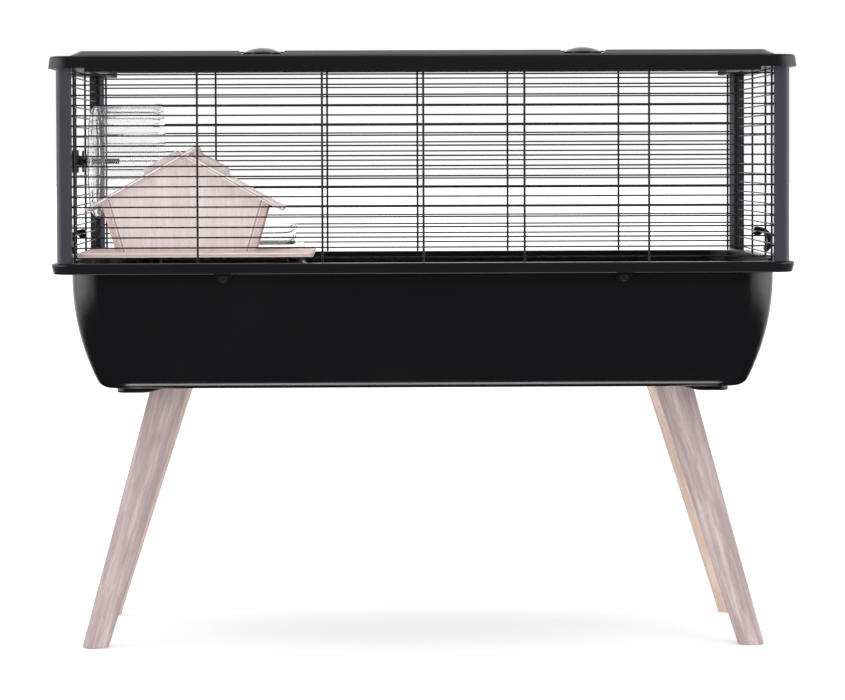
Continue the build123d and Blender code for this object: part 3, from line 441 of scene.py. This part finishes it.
def dress_shell():
    """Tub, frames, posts, lid, latches and clips."""
    paint("tub", black_plastic("tub_gloss", (0.0050, 0.0050, 0.0058), 0.20))
    frame_black = black_plastic("frame_black", (0.0068, 0.0063, 0.0080), 0.30)
    for name in ("bottom_frame", "top_frame"):
        paint(name, frame_black)
    # The posts are the same black plastic as the frames; their lighter, bluish base colour is a
    # painted sheen standing in for the bright sides they reflect.
    post_painted_sheen = black_plastic("post_painted_sheen", (0.034, 0.034, 0.050), 0.32)
    for corner, _, _ in CORNERS:
        paint(f"post_{corner}", post_painted_sheen)
    paint("lid_frame", black_plastic("lid_black", (0.0075, 0.0070, 0.0085), 0.32))
    knob = black_plastic("latch_gloss", (0.006, 0.006, 0.007), 0.16, dust=0.0)
    clip = black_plastic("clip_gloss", (0.006, 0.006, 0.007), 0.2, dust=0.0)
    for side in ("left", "right"):
        paint(f"latch_{side}", knob)
        paint(f"side_clip_{side}", clip)
    paint("tab_screws", black_plastic("screw_black", (0.010, 0.010, 0.011), 0.35, dust=0.0))
    paint("lid_hinge_pins", bright_metal("pin_steel", (0.5, 0.5, 0.52), 0.3))


def dress_wheel():
    """Clear wheel on its black axle, clamped by a black knob."""
    paint("wheel_drum", clear_plastic("wheel_clear", (0.965, 0.975, 0.985), 0.02))
    axle = black_plastic("axle_black", (0.012, 0.012, 0.018), 0.3, dust=0.0)
    for name in ("wheel_axle", "wheel_washer", "wheel_knob"):
        paint(name, axle)
    paint("food_dish", clear_plastic("dish_clear", (0.97, 0.975, 0.975), 0.02))


def dress_house():
    """Plywood walls and roof, with corner battens whose darker wood colour is painted shade at the
    house's corners.
    """
    face_y, upright, origin = (0, 1, 0), (0, 0, 1), (0, 0, 0)
    plies = (face_y, origin, 0.0034, 0.8)
    gable = wood("gable_ply", PLY_LIGHT, PLY_DARK, upright, 0.6, layers=plies, seed=2.0)
    paint("house_front_wall", gable)
    paint("house_back_wall", gable)
    for side, sign in (("left", -1), ("right", 1)):
        normal = (sign * math.cos(HOUSE_LEAN), 0, -math.sin(HOUSE_LEAN))
        foot = (HOUSE_X + sign * HOUSE_BASE_HALF, 0, PLATFORM_TOP_Z)
        plies = (normal, foot, 0.0040, 1.0)
        wall = wood(f"{side}_ply", PLY_LIGHT, PLY_DARK, face_y, 0.6, layers=plies, seed=5 + sign)
        paint(f"house_{side}_wall", wall)
        normal = (sign * math.sin(ROOF_PITCH), 0, math.cos(ROOF_PITCH))
        plies = (normal, origin, 0.0027, 0.9)
        roof = wood(f"{side}_roof", ROOF_LIGHT, ROOF_DARK, face_y, 0.6, layers=plies, seed=8 + sign)
        paint(f"house_roof_{side}", roof)
    # Darker batten colours: painted shade at the corners.
    batten = wood("batten_wood", SHADED_BATTEN_LIGHT, SHADED_BATTEN_DARK, upright, 0.6, seed=11.0)
    paint("house_battens", batten)


def dress_platform():
    """Platform board, its props, and the ramp with its rungs."""
    level, upright, across = (1, 0, 0), (0, 0, 1), (0, 1, 0)
    plies = (upright, (0, 0, PLATFORM_TOP_Z), 0.0048, 0.45)
    board = wood("platform_board", BOARD_LIGHT, BOARD_DARK, level, 0.6, layers=plies, seed=14.0)
    paint("platform", board)
    prop = black_plastic("prop_black", (0.008, 0.008, 0.009), 0.45, grain=0.3, dust=0.0)
    paint("platform_props", prop)
    slope = (math.cos(RAMP_SLOPE), 0, -math.sin(RAMP_SLOPE))
    paint("ramp_board", wood("ramp_wood", BOARD_LIGHT, BOARD_DARK, slope, 0.6, seed=20.0))
    paint("ramp_rungs", wood("rung_wood", BOARD_LIGHT, BOARD_DARK, across, 0.6, seed=23.0))


# ------------------------------------------------------------------ stage, light and camera
def make_floor():
    """A plain pale floor, left out of reflections so that the black plastic stays black.

    It gives a little light of its own, which softens the shadow under the tub.
    """
    size = 60.0
    verts = [(-size, -size, 0), (size, -size, 0), (size, size, 0), (-size, size, 0)]
    material, tree, shader = start_material("floor_white")
    cloud = noise(tree, place(tree), 0.6)
    colour = mixed(tree, cloud, (0.93, 0.93, 0.93), (0.96, 0.96, 0.96))
    tree.links.new(colour, shader.inputs["Base Color"])
    shader.inputs["Roughness"].default_value = 0.9
    shader.inputs["Specular IOR Level"].default_value = 0.0
    shader.inputs["Emission Color"].default_value = (1.0, 1.0, 1.0, 1.0)
    shader.inputs["Emission Strength"].default_value = 0.22
    floor = mesh_object("floor", verts, [(0, 1, 2, 3)], material, smooth=False)
    floor.visible_glossy = False


def make_world():
    """White to look at, an even dome for soft light, and a graded studio for reflections."""
    world = bpy.data.worlds.new("studio")
    bpy.context.scene.world = world
    world.use_nodes = True
    tree = world.node_tree
    background = tree.nodes["Background"]
    direction = node(tree, "ShaderNodeTexCoord").outputs["Generated"]
    parts = node(tree, "ShaderNodeSeparateXYZ", {0: direction})
    height = parts.outputs["Z"]
    above = spread(tree, height, 0.55, 0.95, 0.0, 0.2)
    below = spread(tree, height, -0.995, -0.975, 7.0, 0.0)
    level = spread(tree, height, -0.32, -0.12)
    beside = spread(tree, maths(tree, "ABSOLUTE", parts.outputs["X"]), 0.62, 0.98, 0.0, 2.2)
    behind = spread(tree, parts.outputs["Y"], 0.25, 0.75)
    around = maths(tree, "MULTIPLY", maths(tree, "MAXIMUM", beside, behind), level)
    studio = maths(tree, "ADD", maths(tree, "ADD", above, below), maths(tree, "ADD", around, 0.015))
    path = node(tree, "ShaderNodeLightPath")
    strength = mixed_value(tree, path.outputs["Is Glossy Ray"], 1.18, studio)
    direct, through = path.outputs["Is Camera Ray"], path.outputs["Is Transmission Ray"]
    seen = maths(tree, "MAXIMUM", direct, through)
    strength = mixed_value(tree, seen, strength, 1.0)
    tree.links.new(strength, background.inputs["Strength"])
    background.inputs["Color"].default_value = (1, 1, 1, 1)


def mixed_value(tree, factor, first, second):
    """Mixes two plain values."""
    made = node(tree, "ShaderNodeMix", {0: factor, 2: first, 3: second}, data_type="FLOAT")
    return made.outputs[0]


def make_light(name, position, target, size, power):
    """A large soft area light aimed at a point."""
    data = bpy.data.lights.new(name, "AREA")
    data.shape = "RECTANGLE"
    data.size, data.size_y = size
    data.energy = power
    lamp = bpy.data.objects.new(name, data)
    lamp.visible_glossy = False
    lamp.location = position
    lamp.rotation_euler = (Vector(target) - Vector(position)).to_track_quat("-Z", "Y").to_euler()
    bpy.context.scene.collection.objects.link(lamp)
    return lamp


def make_lights():
    """A soft key from the front right, a low fill for the legs and a wide one overhead."""
    middle = (0, 0, 0.4)
    make_light("key_light", (2.2, -2.8, 1.6), middle, (1.8, 1.8), 22.0)
    make_light("low_fill", (-0.9, -3.0, 0.25), (0, 0, 0.25), (1.6, 0.4), 20.0)
    make_light("top_light", (-0.3, 0.2, 3.2), middle, (2.6, 2.0), 14.0)


def make_camera():
    """The camera, turned about its place by yaw, then pitch, then roll."""
    data = bpy.data.cameras.new("camera")
    data.lens = LENS_MM
    data.sensor_width = 36.0
    data.shift_y = CAMERA_SHIFT_Y
    data.clip_end = 200.0
    camera = bpy.data.objects.new("camera", data)
    turn = Matrix.Rotation(math.radians(CAMERA_YAW), 4, "Z")
    turn @= Matrix.Rotation(math.radians(90 + CAMERA_PITCH), 4, "X")
    turn @= Matrix.Rotation(math.radians(CAMERA_ROLL), 4, "Z")
    camera.matrix_world = Matrix.Translation(CAMERA_AT) @ turn
    bpy.context.scene.collection.objects.link(camera)
    bpy.context.scene.camera = camera


def main():
    """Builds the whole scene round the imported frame."""
    bpy.context.scene.view_settings.view_transform = "Standard"
    make_camera()
    make_world()
    make_lights()
    make_floor()
    coat = wire_coat("wire_black")
    wire_panel("front_wires", "front_panel", 0, LONG_UPRIGHTS, FIRST_RISE, coat)
    wire_panel("right_wires", "right_panel", 1, END_UPRIGHTS, FIRST_RISE, coat)
    wire_panel("back_wires", "back_panel", 2, LONG_UPRIGHTS, BACK_RISE, coat)
    wire_panel("left_wires", "left_panel", 3, END_UPRIGHTS, FIRST_RISE, coat)
    lid_wires(coat)
    dress_legs()
    dress_shell()
    dress_wheel()
    dress_house()
    dress_platform()


main()
